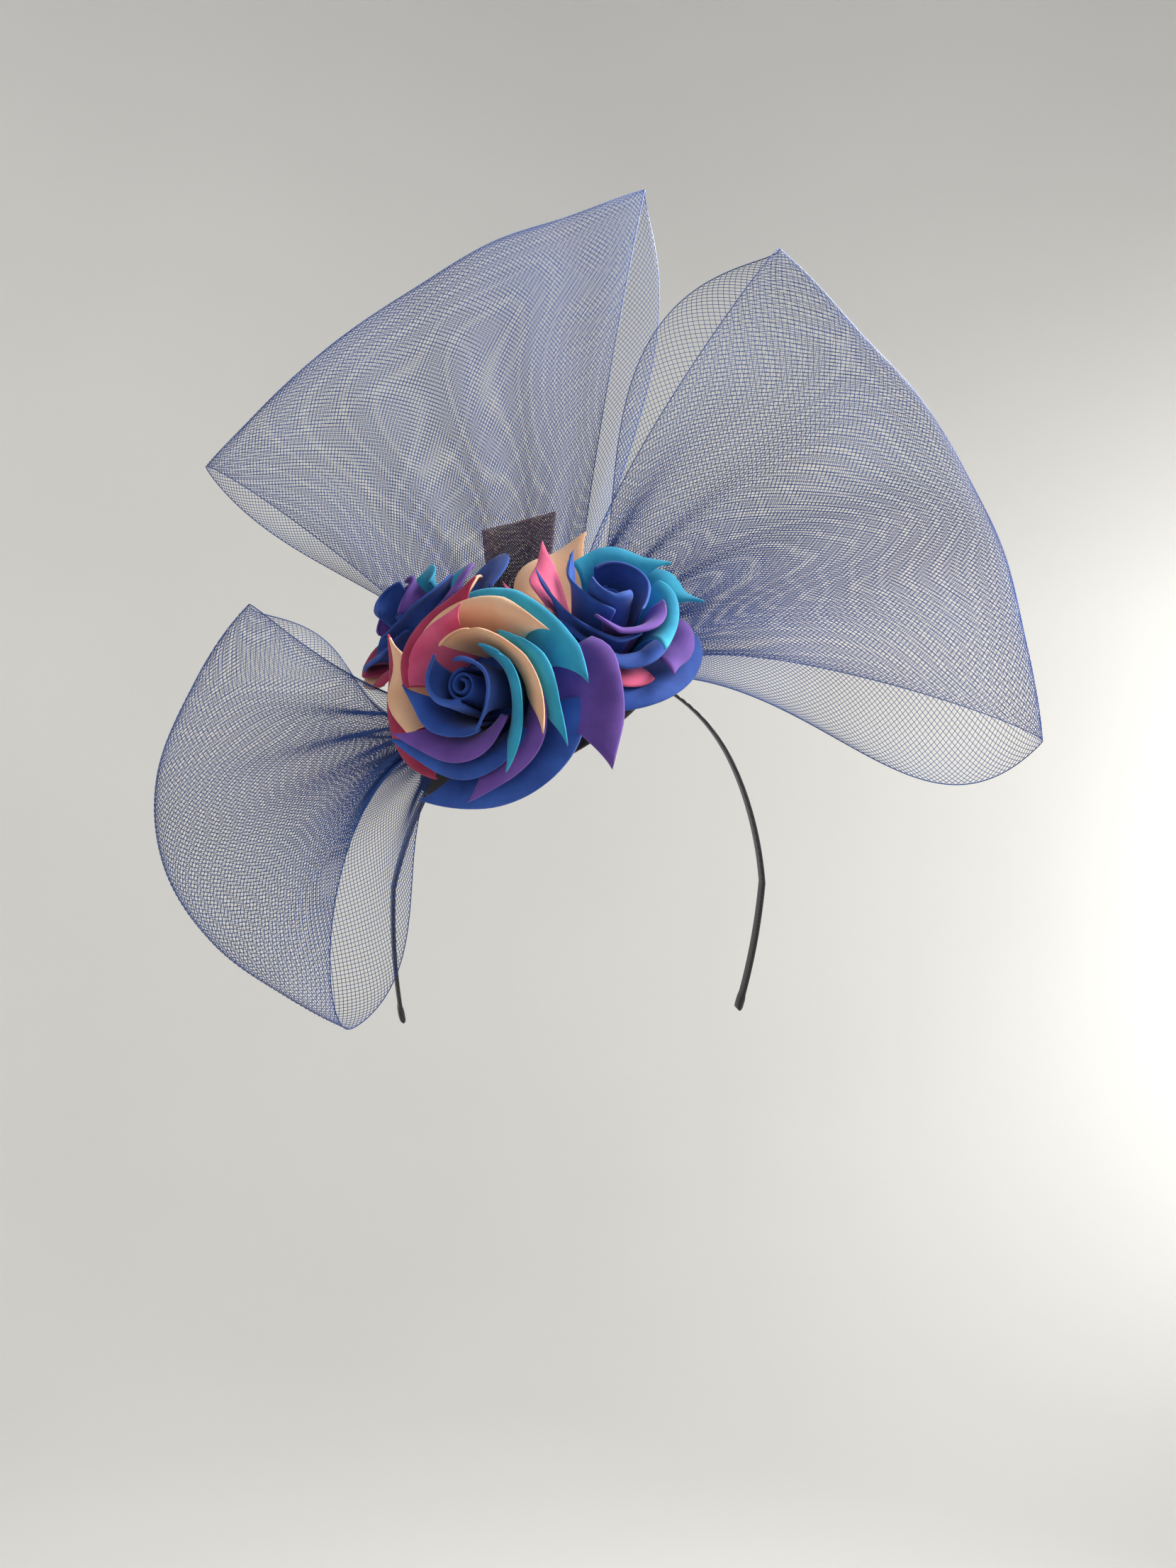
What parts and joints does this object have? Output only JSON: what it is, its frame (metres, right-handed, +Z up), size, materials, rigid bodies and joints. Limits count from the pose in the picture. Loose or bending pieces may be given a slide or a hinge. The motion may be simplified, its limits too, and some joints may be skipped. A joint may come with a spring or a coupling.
{
  "type": "derby hat",
  "caption": "Derby fascinator with folded loops of sheer blue crin braid and rolled foam roses on a domed base, sewn to a slim covered headband.",
  "frame": {"origin": "where the inside of the headband rests on the crown of the head", "axes": "+Z up as worn, the wearer faces -Y, +X to the wearer's left"},
  "size_m": [0.3467, 0.1955, 0.3909],
  "materials": {
    "crin_blue": "sheer braided nylon net",
    "felt_black": "felt",
    "satin_black": "satin",
    "mesh_maroon": "dense mesh",
    "blue": "matte foam sheet",
    "purple": "matte foam sheet",
    "turquoise": "matte foam sheet",
    "peach": "matte foam sheet",
    "pink": "matte foam sheet",
    "crimson": "matte foam sheet"
  },
  "bodies": {
    "root": {"backing_tab": "mesh_maroon", "base": "felt_black", "crin_loop_lower": "crin_blue", "crin_loop_right": "crin_blue", "crin_loop_upper": "crin_blue", "headband": "satin_black", "rose_front_bud": "blue", "rose_front_calyx": "blue", "rose_front_petal_01": "blue", "rose_front_petal_02": "blue", "rose_front_petal_03": "blue", "rose_front_petal_04": "purple", "rose_front_petal_05": "turquoise", "rose_front_petal_06": "peach", "rose_front_petal_07": "blue", "rose_front_petal_08": "purple", "rose_front_petal_09": "turquoise", "rose_front_petal_10": "pink", "rose_front_petal_11": "peach", "rose_front_petal_12": "crimson", "rose_front_petal_13": "turquoise", "rose_front_petal_14": "blue", "rose_front_petal_15": "peach", "rose_front_petal_16": "crimson", "rose_front_petal_17": "purple", "rose_left_bud": "blue", "rose_left_calyx": "blue", "rose_left_petal_01": "blue", "rose_left_petal_02": "purple", "rose_left_petal_03": "turquoise", "rose_left_petal_04": "purple", "rose_left_petal_05": "blue", "rose_left_petal_06": "blue", "rose_left_petal_07": "blue", "rose_left_petal_08": "purple", "rose_left_petal_09": "crimson", "rose_left_petal_10": "turquoise", "rose_left_petal_11": "peach", "rose_left_petal_12": "crimson", "rose_left_petal_13": "blue", "rose_left_petal_14": "peach", "rose_right_bud": "blue", "rose_right_calyx": "blue", "rose_right_petal_01": "blue", "rose_right_petal_02": "blue", "rose_right_petal_03": "blue", "rose_right_petal_04": "purple", "rose_right_petal_05": "blue", "rose_right_petal_06": "turquoise", "rose_right_petal_07": "turquoise", "rose_right_petal_08": "blue", "rose_right_petal_09": "pink", "rose_right_petal_10": "purple", "rose_right_petal_11": "pink", "rose_right_petal_12": "pink", "rose_right_petal_13": "blue", "rose_right_petal_14": "peach", "rose_right_petal_15": "turquoise"}
  },
  "joints": []
}
